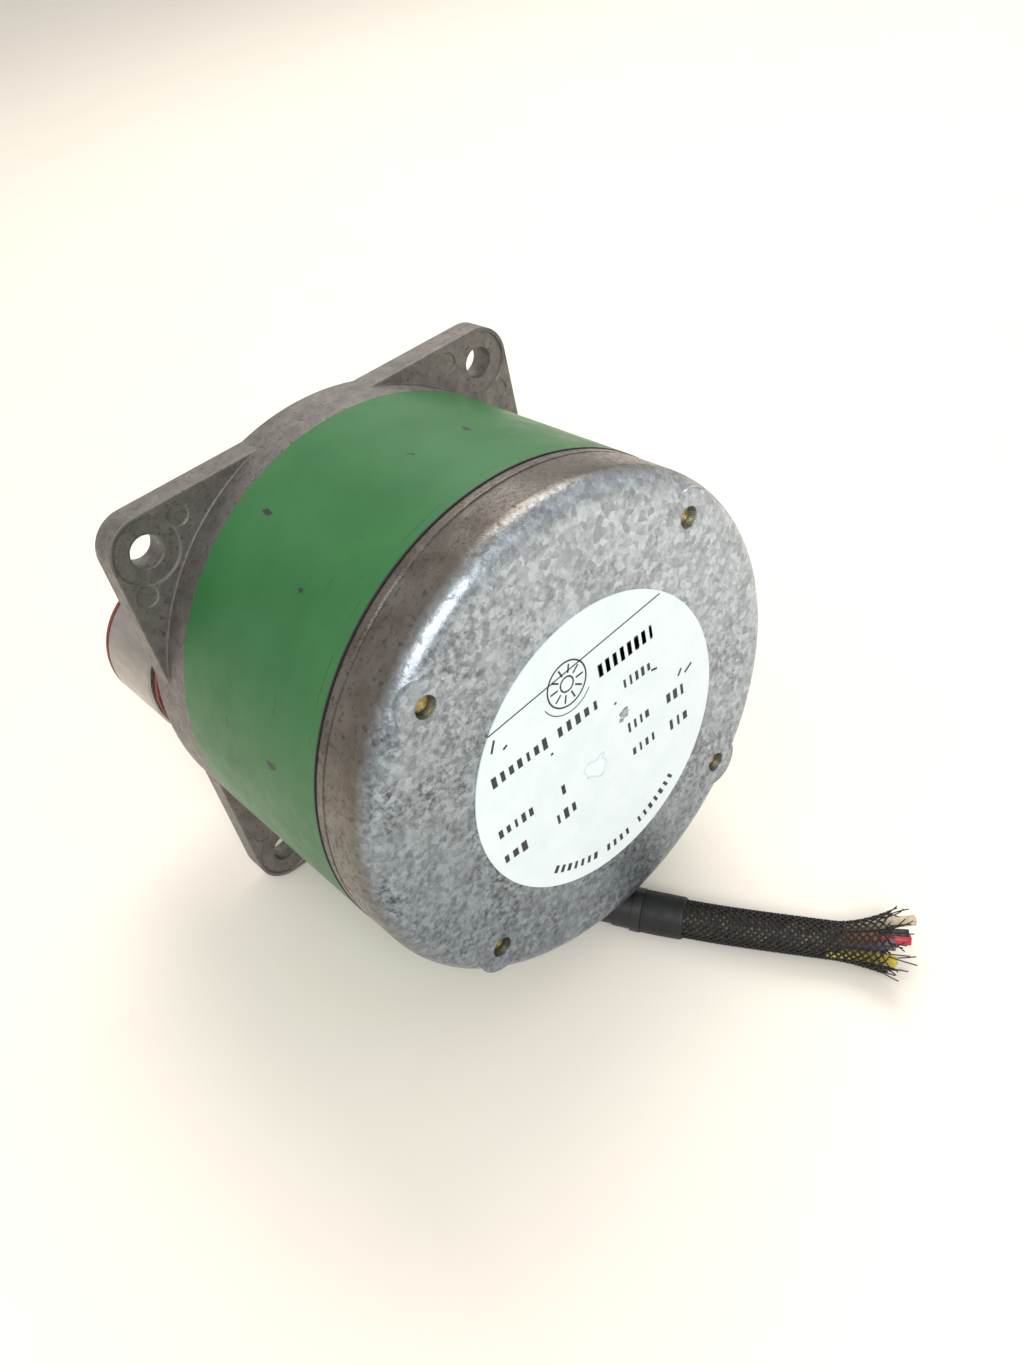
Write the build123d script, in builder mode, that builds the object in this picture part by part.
"""Round-bodied stepper motor with a lead screw, as separate parts.

Frame: the motor axis is Y. The origin is the centre of the mounting face, the shaft end is +Y,
the rear cap is -Y and the flange sides are square to X and Z, with +Z up. Millimetres.
Depths are measured backwards (-Y) from the mounting face.
"""

import os
from math import ceil, cos, pi, radians, sin, sqrt, tan

from build123d import *

# ---- driving dimensions ----
body_r = 42.7
flange_side = 82.0
flange_thick = 5.0
flange_corner_r = 6.0
bolt_half = 69.58 / 2
bolt_r = 2.8
spotface_r = 5.6
spotface_deep = 0.3
pilot_r = 73.02 / 2
pilot_high = 1.6

bell_back = 10.7  # where the bell's ring meets the painted shell
bell_ring_r = 42.6
shell_back = 49.2
cap_front = 49.5
cap_back = 61.7
cap_r = 42.6
cap_round = 4.0
cap_floor = 3.0
wall = 2.9

core_front = 17.0
core_back = 43.0
core_r = 41.6
spigot_r = 41.55  # the castings' spigots slide into the shell
core_bore_r = 23.8
yoke_inner_r = 34.0
pole_count = 8
pole_width = 9.0
tooth_pitch = 7.2  # degrees
rotor_r = 23.5
rotor_teeth = 50

screw_circle_r = 36.9
screw_r = 1.8
screw_end = 60.2
screw_clear = 0.2
screw_head_r = 3.2
screw_head_deep = 3.2
head_clear = 0.35
boss_r = 3.9
rim_boss_r = 4.7  # where the cap's bosses swell out to its face

shaft_r = 9.525 / 2
rotor_seat_r = 5.6
shaft_tip = -21.0
bearing_r = 22.225 / 2
bearing_wide = 7.14
front_bearing = 4.0
rear_bearing = 50.6
ball_circle_r = 7.94
ball_r = 1.9
ball_count = 7

hub_front = -24.0
hub_back = -9.0
hub_r = 7.0
pin_r = 1.5
pin_depth = (hub_front + hub_back) / 2
thread_r = 4.0
thread_deep = 1.0
thread_pitch = 3.0
cutter_turns = 3
neck_long = 2.5
screw_tip = -66.0

roller_x = -29.2
roller_z = 3.6
roller_r = 13.6
roller_near = -3.8
roller_far = -19.9
stud_r = 3.0
stud_tail_r = 2.0
stud_tail_end = 3.4
run_fit = 0.05

cable_r = 3.5
floor_slope = 0.16  # the resting surface falls away towards the cap by this much per mm
flange_low = -flange_side / 2
exit_depth = 54.18

label_r = 25.55
label_x = 1.3
label_z = -1.8
label_thick = 0.2


# ---- helpers ----
def across(depth):
    """The plane across the axis at a depth behind the mounting face; it faces backwards."""
    return Plane.XZ.offset(depth)


def corners(half):
    """The four points of a square, in order round the axis."""
    return [(half, half), (-half, half), (-half, -half), (half, -half)]


def cable_centre(x, y):
    """A point of the cable's centreline, one radius above the sloping surface that it lies on."""
    rise = cable_r * sqrt(1 + floor_slope**2)
    return Vector(x, y, flange_low + floor_slope * y + rise)


def finish(builder, name):
    """Label a part and write its STEP file."""
    builder.part.label = name
    export_step(builder.part, f"parts/{name}.step")
    boxes = builder.part.bounding_box()
    solids = len(builder.part.solids())
    print(f"{name:24s} solids {solids:3d} volume {builder.part.volume:10.2f} box {boxes.min} {boxes.max}")


os.makedirs("parts", exist_ok=True)
screw_half = screw_circle_r / sqrt(2)
core_long = core_back - core_front


# ---- front bell: square flange, round ring, bearing seat and four screw bosses ----
rib_wide = 1.6
rib_high = 2.4
rib_gap = 1.5  # from the ribs' ends to the seat's bore and the ring's outside
shaft_hole_r = shaft_r + 0.45
mark_near = 28.0  # ejector marks, on both sides of each corner
mark_far = 37.8
mark_r = 1.8
mark_deep = 0.15
mark_places = [(sx * mark_near, sz * mark_far) for sx, sz in corners(1)]
mark_places += [(sx * mark_far, sz * mark_near) for sx, sz in corners(1)]

with BuildPart() as front_bell:
    with BuildSketch(across(0)):
        RectangleRounded(flange_side, flange_side, flange_corner_r)
    extrude(amount=flange_thick)
    with BuildSketch(across(0)):
        Circle(bell_ring_r)
    extrude(amount=bell_back)
    with BuildSketch(across(-pilot_high)):
        Circle(pilot_r)
    extrude(amount=pilot_high)
    with BuildSketch(across(bell_back)):
        Circle(spigot_r)
    extrude(amount=core_front - bell_back)
    with BuildSketch(across(flange_thick)):
        Circle(core_r - wall)
    extrude(amount=core_front, mode=Mode.SUBTRACT)
    with BuildSketch(across(front_bearing)):
        Circle(bearing_r + wall)
    extrude(amount=bearing_wide)
    with BuildSketch(across(flange_thick)):
        with Locations(*corners(screw_half)):
            Circle(boss_r)
    extrude(amount=core_front - flange_thick)
    # ribs that stiffen the end wall between the bearing seat and the ring
    with BuildSketch(across(flange_thick)):
        with PolarLocations((bearing_r + core_r) / 2, 8, start_angle=22.5):
            Rectangle(core_r - bearing_r - 2 * rib_gap, rib_wide)
    extrude(amount=rib_high)
    with BuildSketch(across(front_bearing)):
        Circle(bearing_r)
    extrude(amount=bearing_wide, mode=Mode.SUBTRACT)
    with BuildSketch(across(-pilot_high)):
        Circle(shaft_hole_r)
    extrude(amount=front_bearing + pilot_high, mode=Mode.SUBTRACT)
    with BuildSketch(across(-pilot_high)):
        with Locations(*corners(screw_half)):
            Circle(screw_r + screw_clear)
    extrude(amount=core_front + pilot_high, mode=Mode.SUBTRACT)
    with BuildSketch(across(-pilot_high)):
        with Locations(*corners(screw_half)):
            Circle(screw_head_r + head_clear)
    extrude(amount=screw_head_deep + pilot_high, mode=Mode.SUBTRACT)
    with BuildSketch(across(0)):
        with Locations(*corners(bolt_half)):
            Circle(bolt_r)
    extrude(amount=flange_thick, mode=Mode.SUBTRACT)
    with BuildSketch(across(flange_thick - spotface_deep)):
        with Locations(*corners(bolt_half)):
            Circle(spotface_r)
    extrude(amount=spotface_deep, mode=Mode.SUBTRACT)
    with BuildSketch(across(flange_thick - mark_deep)):
        with Locations(*mark_places):
            Circle(mark_r)
    extrude(amount=mark_deep, mode=Mode.SUBTRACT)
    with BuildSketch(across(-pilot_high)):
        with Locations((roller_x, roller_z)):
            Circle(stud_tail_r)
    extrude(amount=pilot_high + stud_tail_end + screw_clear, mode=Mode.SUBTRACT)
finish(front_bell, "front_bell")

# ---- painted shell round the stator ----
with BuildPart() as stator_shell:
    with BuildSketch(across(bell_back)):
        Circle(body_r)
        Circle(core_r, mode=Mode.SUBTRACT)
    extrude(amount=shell_back - bell_back)
finish(stator_shell, "stator_shell")

# ---- rear cap: deep dish with a rounded rim, bearing seat, tapped bosses and cable hole ----
rim_boss_long = 6.5
seat_lead = 2.0  # the seat starts this far ahead of the bearing
seat_deep = bearing_wide + 2.45
cap_inside = cap_back - cap_floor
trim_line = 1.6  # thin groove round the cap, behind its front edge
trim_wide = 0.4
trim_deep = 0.3

with BuildPart() as rear_cap:
    with BuildSketch(across(cap_front)):
        Circle(cap_r)
    extrude(amount=cap_back - cap_front)
    fillet(rear_cap.faces().sort_by(Axis.Y)[0].edges(), radius=cap_round)
    with BuildSketch(across(core_back)):
        Circle(spigot_r)
    extrude(amount=cap_front - core_back)
    with BuildSketch(across(cap_back - rim_boss_long)):
        with Locations(*corners(screw_half)):
            Circle(rim_boss_r)
    extrude(amount=rim_boss_long)
    with BuildSketch(across(core_back)):
        Circle(core_r - wall)
    extrude(amount=cap_inside - core_back, mode=Mode.SUBTRACT)
    with BuildSketch(across(rear_bearing - seat_lead)):
        Circle(bearing_r + wall)
    extrude(amount=cap_inside - rear_bearing + seat_lead)
    with BuildSketch(across(core_back)):
        with Locations(*corners(screw_half)):
            Circle(boss_r)
    extrude(amount=cap_inside - core_back)
    with BuildSketch(across(rear_bearing - seat_lead)):
        Circle(bearing_r)
    extrude(amount=seat_deep, mode=Mode.SUBTRACT)
    with BuildSketch(across(core_back)):
        with Locations(*corners(screw_half)):
            Circle(screw_r)
    extrude(amount=cap_back - core_back, mode=Mode.SUBTRACT)
    with BuildSketch(across(cap_front + trim_line)):
        Circle(cap_r + trim_deep)
        Circle(cap_r - trim_deep, mode=Mode.SUBTRACT)
    extrude(amount=trim_wide, mode=Mode.SUBTRACT)
    with BuildSketch(Plane.XY.offset(-cap_r - wall)):
        with Locations((0, -exit_depth)):
            Circle(cable_r)
    extrude(amount=3 * wall, mode=Mode.SUBTRACT)
finish(rear_cap, "rear_cap")

# ---- rating label on the cap ----
with BuildPart() as rear_label:
    with BuildSketch(across(cap_back)):
        with Locations((label_x, label_z)):
            Circle(label_r)
    extrude(amount=label_thick)
finish(rear_label, "rear_label")

# ---- stator core: yoke ring with eight toothed poles ----
overlap = 1.0  # poles and shoes run into each other and into the yoke by this much
shoe_thick = 3.8
shoe_wide = 14.0
slot_deep = 0.75
slot_wide = 1.8
with BuildPart() as stator_core:
    with BuildSketch(across(core_front)):
        Circle(core_r)
        Circle(yoke_inner_r, mode=Mode.SUBTRACT)
        with PolarLocations((core_bore_r + yoke_inner_r) / 2 + overlap, pole_count):
            Rectangle(yoke_inner_r - core_bore_r + overlap, pole_width)
        with PolarLocations(core_bore_r + (shoe_thick - overlap) / 2, pole_count):
            Rectangle(shoe_thick + overlap, shoe_wide)
        Circle(core_bore_r, mode=Mode.SUBTRACT)
        for step in (-1.5, -0.5, 0.5, 1.5):
            with PolarLocations(core_bore_r, pole_count, start_angle=tooth_pitch * step):
                Rectangle(2 * slot_deep, slot_wide, mode=Mode.SUBTRACT)
        with Locations(*corners(screw_half)):
            Circle(screw_r + screw_clear, mode=Mode.SUBTRACT)
    extrude(amount=core_long)
finish(stator_core, "stator_core")

# ---- end insulators: a thin plate on each end of the core, with cheeks that hold the coils ----
plate = 0.8
cheek_high = 4.0
cheek_thick = 0.6
cheek_wide = 12.5
cheek_r = core_bore_r + 4.6
outer_cheek_r = yoke_inner_r + 0.8
arm_long = outer_cheek_r - core_bore_r - 1.0
boss_gap = 0.3


def insulator(start, outward):
    """Build one end insulator whose inner face is at a depth; outward is +1 backwards, -1 forwards."""
    with BuildPart() as made:
        with BuildSketch(across(start)):
            Circle(outer_cheek_r)
            Circle(outer_cheek_r - overlap, mode=Mode.SUBTRACT)
            with PolarLocations(outer_cheek_r - arm_long / 2, pole_count):
                Rectangle(arm_long, pole_width + overlap)
            with PolarLocations(cheek_r, pole_count):
                Rectangle(2 * cheek_thick, cheek_wide)
            with Locations(*corners(screw_half)):
                Circle(boss_r + boss_gap, mode=Mode.SUBTRACT)
        extrude(amount=outward * plate)
        with BuildSketch(across(start + outward * plate)):
            with PolarLocations(cheek_r, pole_count):
                Rectangle(cheek_thick, cheek_wide)
            Circle(outer_cheek_r)
            Circle(outer_cheek_r - cheek_thick, mode=Mode.SUBTRACT)
            with Locations(*corners(screw_half)):
                Circle(boss_r + boss_gap, mode=Mode.SUBTRACT)
        extrude(amount=outward * cheek_high)
    return made


finish(insulator(core_front, -1), "front_insulator")
finish(insulator(core_back, 1), "rear_insulator")

# ---- coils: four poles of each phase ----
coil_inner_r = 29.0
coil_outer_r = 32.4
coil_gap = 0.1
coil_wide = pole_width + overlap + 4 * coil_gap
coil_long = core_long + 2 * plate + 2 * coil_gap
coil_thick = 3.0
coil_corner_r = 2.6
coil_inner_corner_r = 0.3


def phase(first):
    """Build the four coils that sit on every second pole from the first."""
    with BuildPart() as made:
        for pole in range(first, pole_count, 2):
            angle = radians(360 / pole_count * pole)
            out = Vector(cos(angle), 0, sin(angle))
            base = out * coil_inner_r - Vector(0, (core_front + core_back) / 2, 0)
            with BuildSketch(Plane(origin=base, x_dir=(0, 1, 0), z_dir=out)):
                RectangleRounded(coil_long + 2 * coil_thick, coil_wide + 2 * coil_thick, coil_corner_r)
                RectangleRounded(coil_long, coil_wide, coil_inner_corner_r, mode=Mode.SUBTRACT)
            extrude(amount=coil_outer_r - coil_inner_r)
    return made


finish(phase(0), "phase_a_coils")
finish(phase(1), "phase_b_coils")

# ---- coil leads inside the cap, down to the cable outlet ----
inner_lead_r = 0.48
lead_count = 6
lead_top = Vector(0, -47.5, -31.0)  # behind the lowest coil
lead_spread = 1.9
lead_gather = 1.0
grommet_rim_r = cable_r + 1.0
grommet_rim_high = 1.2
grommet_rim_low = -38.35  # the rim sits on the inside of the cap's wall
grommet_top = grommet_rim_low + grommet_rim_high
outlet = Vector(0, -exit_depth, grommet_top)
with BuildPart() as inner_leads:
    for n in range(lead_count):
        side = Vector(n - (lead_count - 1) / 2, 0, 0)
        start = lead_top + side * lead_spread
        end = outlet + side * lead_gather
        with BuildSketch(Plane(origin=start, z_dir=end - start)):
            Circle(inner_lead_r)
        extrude(amount=(end - start).length + overlap)
    with BuildSketch(Plane.XY.offset(grommet_top)):
        with Locations((0, -exit_depth)):
            Circle(2 * grommet_rim_r)
    extrude(amount=-2 * overlap, mode=Mode.SUBTRACT)
finish(inner_leads, "inner_leads")

# ---- rotor: two toothed stacks half a tooth apart with a magnet between ----
stack_long = 10.5
rotor_inset = 0.5  # the rotor is shorter than the core by this much at each end
magnet_r = 21.0


def rotor_stack(start, turn):
    """Build one toothed rotor stack that begins at a depth, turned by an angle in degrees."""
    with BuildPart() as made:
        with BuildSketch(across(start)):
            Circle(rotor_r)
            with PolarLocations(rotor_r, rotor_teeth, start_angle=turn):
                Rectangle(2 * slot_deep, slot_wide, mode=Mode.SUBTRACT)
            Circle(rotor_seat_r, mode=Mode.SUBTRACT)
        extrude(amount=stack_long)
    return made


rotor_front = core_front + rotor_inset
magnet_front = rotor_front + stack_long
magnet_long = core_long - 2 * rotor_inset - 2 * stack_long
finish(rotor_stack(rotor_front, 0), "rotor_front_stack")
finish(rotor_stack(magnet_front + magnet_long, tooth_pitch / 2), "rotor_rear_stack")

with BuildPart() as rotor_magnet:
    with BuildSketch(across(magnet_front)):
        Circle(magnet_r)
        Circle(rotor_seat_r, mode=Mode.SUBTRACT)
    extrude(amount=magnet_long)
finish(rotor_magnet, "rotor_magnet")

# ---- shaft ----
front_shoulder = front_bearing + bearing_wide
rear_end = rear_bearing + bearing_wide
shaft_chamfer = 0.6
with BuildPart() as motor_shaft:
    with BuildSketch(across(shaft_tip)):
        Circle(shaft_r)
    extrude(amount=rear_end - shaft_tip)
    with BuildSketch(across(front_shoulder)):
        Circle(rotor_seat_r)
    extrude(amount=rear_bearing - front_shoulder)
    chamfer(motor_shaft.faces().sort_by(Axis.Y)[-1].edges(), length=shaft_chamfer)
    with BuildSketch(Plane.XY.offset(-hub_r)):
        with Locations((0, -pin_depth)):
            Circle(pin_r)
    extrude(amount=2 * hub_r, mode=Mode.SUBTRACT)
finish(motor_shaft, "motor_shaft")

# ---- lead screw, pinned on the shaft's end ----
groove_root_half = 0.6
groove_mouth_half = 1.1
groove_proud = 0.5  # the cutter stands out of the screw by this much
thread_end_chamfer = 0.9
neck_r = thread_r - thread_deep - 0.1
pin_inset = 0.3

# One cutter of a few turns, used again and again along the screw
with BuildPart() as thread_groove:
    with BuildLine() as groove_line:
        Helix(thread_pitch, cutter_turns * thread_pitch, thread_r)
    with BuildSketch(Plane(origin=groove_line.line @ 0, x_dir=(1, 0, 0), z_dir=groove_line.line % 0)):
        with BuildLine():
            Polyline(
                (groove_proud, -groove_mouth_half),
                (groove_proud, groove_mouth_half),
                (-thread_deep, groove_root_half),
                (-thread_deep, -groove_root_half),
                close=True,
            )
        make_face()
    sweep(is_frenet=True)

with BuildPart() as lead_screw:
    with BuildSketch(across(hub_front)):
        Circle(hub_r)
    extrude(amount=hub_back - hub_front)
    chamfer(lead_screw.edges(), length=shaft_chamfer)
    with BuildSketch(across(hub_front - neck_long)):
        Circle(neck_r)
    extrude(amount=neck_long)
    with BuildSketch(across(screw_tip)):
        Circle(thread_r)
    extrude(amount=hub_front - neck_long - screw_tip)
    chamfer(lead_screw.faces().sort_by(Axis.Y)[-1].edges(), length=thread_end_chamfer)
    with BuildSketch(across(shaft_tip)):
        Circle(shaft_r)
    extrude(amount=hub_back - shaft_tip, mode=Mode.SUBTRACT)
    with BuildSketch(Plane.XY.offset(-hub_r)):
        with Locations((0, -pin_depth)):
            Circle(pin_r)
    extrude(amount=2 * hub_r, mode=Mode.SUBTRACT)
    cutter_long = cutter_turns * thread_pitch
    groove_start = neck_long - hub_front - thread_pitch * 0.3
    for n in range(ceil((-screw_tip - groove_start) / cutter_long)):
        place = Location((0, groove_start + n * cutter_long, 0), (-90, 0, 0))
        add(thread_groove.part.moved(place), mode=Mode.SUBTRACT)
finish(lead_screw, "lead_screw")

with BuildPart() as cross_pin:
    with BuildSketch(Plane.XY.offset(pin_inset - hub_r)):
        with Locations((0, -pin_depth)):
            Circle(pin_r)
    extrude(amount=2 * (hub_r - pin_inset))
finish(cross_pin, "lead_screw_pin")


# ---- ball bearings ----
inner_land_r = 6.6
outer_land_r = 9.4
race_gap = 0.1
pocket_gap = 0.05
cage_wide = 5.0
cage_thick = 1.2
shield_thick = 0.3
shield_inset = 0.2


def race_ring(start, r_out, r_in):
    """Build one ring of a bearing, with a groove that the balls run in."""
    with BuildPart() as made:
        with BuildSketch(across(start)):
            Circle(r_out)
            Circle(r_in, mode=Mode.SUBTRACT)
        extrude(amount=bearing_wide)
        with BuildSketch(Plane.XY):
            with Locations((ball_circle_r, -start - bearing_wide / 2)):
                Circle(ball_r + race_gap)
        revolve(axis=Axis.Y, mode=Mode.SUBTRACT)
    return made


def bearing(start, prefix):
    """Build one shielded ball bearing whose front face is at a depth."""
    middle = start + bearing_wide / 2
    angles = [2 * pi * (n + 0.5) / ball_count for n in range(ball_count)]
    outward = [Vector(cos(angle), 0, sin(angle)) for angle in angles]
    centre = Vector(0, -middle, 0)

    finish(race_ring(start, bearing_r, outer_land_r), f"{prefix}_bearing_outer")
    finish(race_ring(start, inner_land_r, shaft_r), f"{prefix}_bearing_inner")
    with BuildPart() as balls:
        with Locations(*[centre + out * ball_circle_r for out in outward]):
            Sphere(ball_r)
    finish(balls, f"{prefix}_bearing_balls")
    with BuildPart() as cage:
        with BuildSketch(across(middle - cage_wide / 2)):
            Circle(ball_circle_r + cage_thick / 2)
            Circle(ball_circle_r - cage_thick / 2, mode=Mode.SUBTRACT)
        extrude(amount=cage_wide)
        for out in outward:
            with BuildSketch(Plane(origin=centre + out * inner_land_r, z_dir=out)):
                Circle(ball_r + pocket_gap)
            extrude(amount=outer_land_r - inner_land_r, mode=Mode.SUBTRACT)
    finish(cage, f"{prefix}_bearing_cage")
    with BuildPart() as shields:
        for depth in (start + shield_inset, start + bearing_wide - shield_inset - shield_thick):
            with BuildSketch(across(depth)):
                Circle(outer_land_r)
                Circle(inner_land_r + shield_thick, mode=Mode.SUBTRACT)
            extrude(amount=shield_thick)
    finish(shields, f"{prefix}_bearing_shields")


bearing(front_bearing, "front")
bearing(rear_bearing, "rear")

washer_r = bearing_r - 0.2
washer_wide = 2.2
washer_thick = 0.45
with BuildPart() as wave_washer:
    with BuildSketch(across(rear_end)):
        Circle(washer_r)
        Circle(washer_r - washer_wide, mode=Mode.SUBTRACT)
    extrude(amount=washer_thick)
finish(wave_washer, "wave_washer")

# ---- four tie screws from the flange to the cap ----
head_inset = 0.4
slot_cut = 1.0
slot_cut_deep = 1.2
screw_point = 0.4
with BuildPart() as tie_screws:
    with BuildSketch(across(head_inset)):
        with Locations(*corners(screw_half)):
            Circle(screw_head_r)
    extrude(amount=screw_head_deep - head_inset)
    with BuildSketch(across(head_inset)):
        with Locations(*corners(screw_half)):
            Rectangle(2 * screw_head_r, slot_cut, rotation=20)
    extrude(amount=slot_cut_deep, mode=Mode.SUBTRACT)
    with BuildSketch(across(screw_head_deep)):
        with Locations(*corners(screw_half)):
            Circle(screw_r)
    extrude(amount=screw_end - screw_head_deep)
    chamfer(tie_screws.faces().sort_by(Axis.Y)[:4].edges(), length=screw_point)
finish(tie_screws, "tie_screws")

# ---- roller beside the shaft, on its shouldered stud ----
fibre_thick = 0.9
fibre_r = 13.1
spacer_r = 5.5
front_fibre_thick = 0.8
side_play = 0.1
stud_head_r = 4.8
stud_head_long = 3.0
stud_slot_deep = 1.3
roller_chamfer = 0.35
fibre_back = -pilot_high
fibre_front = fibre_back - fibre_thick
head_back = roller_far - front_fibre_thick - side_play
head_front = head_back - stud_head_long

with BuildPart() as roller_stud:
    with BuildSketch(across(head_back)):
        with Locations((roller_x, roller_z)):
            Circle(stud_r)
    extrude(amount=fibre_back - head_back)
    with BuildSketch(across(fibre_back)):
        with Locations((roller_x, roller_z)):
            Circle(stud_tail_r)
    extrude(amount=pilot_high + stud_tail_end)
    with BuildSketch(across(head_front)):
        with Locations((roller_x, roller_z)):
            Circle(stud_head_r)
    extrude(amount=stud_head_long)
    with BuildSketch(across(head_front)):
        with Locations((roller_x, roller_z)):
            Rectangle(2 * stud_head_r, slot_cut)
    extrude(amount=stud_slot_deep, mode=Mode.SUBTRACT)
finish(roller_stud, "roller_stud")


def round_plate(near, far, r_out, r_in):
    """Build a ring round the roller's axis between two depths."""
    with BuildPart() as made:
        with BuildSketch(across(far)):
            with Locations((roller_x, roller_z)):
                Circle(r_out)
                Circle(r_in, mode=Mode.SUBTRACT)
        extrude(amount=near - far)
    return made


bore_r = stud_r + run_fit
finish(round_plate(fibre_back, fibre_front, fibre_r, stud_r), "roller_back_washer")
finish(round_plate(fibre_front, roller_near + side_play, spacer_r, stud_r), "roller_spacer")
finish(round_plate(roller_far, roller_far - front_fibre_thick, roller_r, bore_r), "roller_front_washer")
with BuildPart() as side_roller:
    with BuildSketch(across(roller_far)):
        with Locations((roller_x, roller_z)):
            Circle(roller_r)
    extrude(amount=roller_near - roller_far)
    chamfer(side_roller.edges(), length=roller_chamfer)
    with BuildSketch(across(roller_far)):
        with Locations((roller_x, roller_z)):
            Circle(bore_r)
    extrude(amount=roller_near - roller_far, mode=Mode.SUBTRACT)
finish(side_roller, "side_roller")

# ---- cable: grommet, heat-shrink, braided sleeve, its open end and the cut leads ----
route = [
    cable_centre(2.0, -57.6),
    cable_centre(7.9, -67.7),
    cable_centre(17.8, -82.0),
    cable_centre(28.0, -96.0),
]
bend_radii = []
for before, here, after in zip(route, route[1:], route[2:]):
    turn = radians((here - before).get_angle(after - here))
    shorter = min((here - before).length, (after - here).length)
    bend_radii.append(0.45 * shorter / tan(turn / 2))
print("cable bend radii", [round(r, 1) for r in bend_radii])

first_run = (route[1] - route[0]).normalized()
last_run = (route[-1] - route[-2]).normalized()
elbow = cable_centre(0, -exit_depth)

collar_back = 1.0
collar_wall = 0.25
ring_wall = 0.55
ring_start = 2.4
ring_end = 4.1
with BuildPart() as cable_grommet:
    with BuildSketch(Plane.XY.offset(elbow.Z)):
        with Locations((elbow.X, elbow.Y)):
            Circle(cable_r)
    extrude(amount=grommet_top - elbow.Z)
    with Locations(elbow):
        Sphere(cable_r)
    with BuildSketch(Plane(origin=elbow, z_dir=route[0] - elbow)):
        Circle(cable_r)
    extrude(amount=(route[0] - elbow).length)
    with BuildSketch(Plane.XY.offset(grommet_rim_low)):
        with Locations((elbow.X, elbow.Y)):
            Circle(grommet_rim_r)
    extrude(amount=grommet_rim_high)
    # a thin collar with a raised ring grips the start of the sleeve
    with BuildSketch(Plane(origin=route[0] - first_run * collar_back, z_dir=first_run)):
        Circle(cable_r + collar_wall)
    extrude(amount=collar_back + ring_end)
    with BuildSketch(Plane(origin=route[0] + first_run * ring_start, z_dir=first_run)):
        Circle(cable_r + ring_wall)
    extrude(amount=ring_end - ring_start)
    with BuildSketch(Plane(origin=route[0], z_dir=first_run)):
        Circle(cable_r)
    extrude(amount=ring_end, mode=Mode.SUBTRACT)
finish(cable_grommet, "cable_grommet")

with BuildPart() as cable_sleeve:
    with BuildLine() as sleeve_line:
        FilletPolyline(*route, radius=bend_radii)
    with BuildSketch(Plane(origin=route[0], z_dir=sleeve_line.line % 0)):
        Circle(cable_r)
    sweep()
finish(cable_sleeve, "cable_sleeve")
sleeve_long = sum(edge.length for edge in sleeve_line.edges())
print("cable length", round(sleeve_long, 2), "section x length", round(pi * cable_r**2 * sleeve_long, 1))

shrink_wall = 0.45
shrink_start = ring_end
shrink_end = 11.7
with BuildPart() as heat_shrink:
    with BuildSketch(Plane(origin=route[0] + first_run * shrink_start, z_dir=first_run)):
        Circle(cable_r + shrink_wall)
        Circle(cable_r, mode=Mode.SUBTRACT)
    extrude(amount=shrink_end - shrink_start)
    add(cable_sleeve.part, mode=Mode.SUBTRACT)
finish(heat_shrink, "heat_shrink")

# The sleeve's open end spreads into a wide mouth whose lower side stays on the cable's lower side
flare_long = 9.5
flare_proud = 4.0
flare_wall = 0.4
mouth_half = (6.0, 4.1)
flat_side = last_run.cross(Vector(0, 0, 1)).normalized()
flare_up = flat_side.cross(last_run)
flare_start = route[-1] - last_run * (flare_long - flare_proud)
flare_mouth = flare_start + last_run * flare_long + flare_up * (mouth_half[1] - cable_r)
start_plane = Plane(origin=flare_start, x_dir=flat_side, z_dir=last_run)
mouth_plane = Plane(origin=flare_mouth, x_dir=flat_side, z_dir=last_run)
with BuildPart() as sleeve_flare:
    with BuildSketch(start_plane):
        Circle(cable_r + flare_wall)
    with BuildSketch(mouth_plane):
        Ellipse(mouth_half[0] + flare_wall, mouth_half[1] + flare_wall)
    loft()
    with BuildSketch(start_plane):
        Circle(cable_r)
    with BuildSketch(mouth_plane):
        Ellipse(mouth_half[0], mouth_half[1])
    loft(mode=Mode.SUBTRACT)
    add(cable_sleeve.part, mode=Mode.SUBTRACT)
finish(sleeve_flare, "sleeve_flare")

lead_end_r = 0.8
lead_ring_r = 2.2
lead_end_long = 6.5
with BuildPart() as lead_ends:
    with BuildSketch(Plane(origin=route[-1], x_dir=flat_side, z_dir=last_run)):
        with PolarLocations(lead_ring_r, lead_count):
            Circle(lead_end_r)
    extrude(amount=lead_end_long)
finish(lead_ends, "lead_ends")
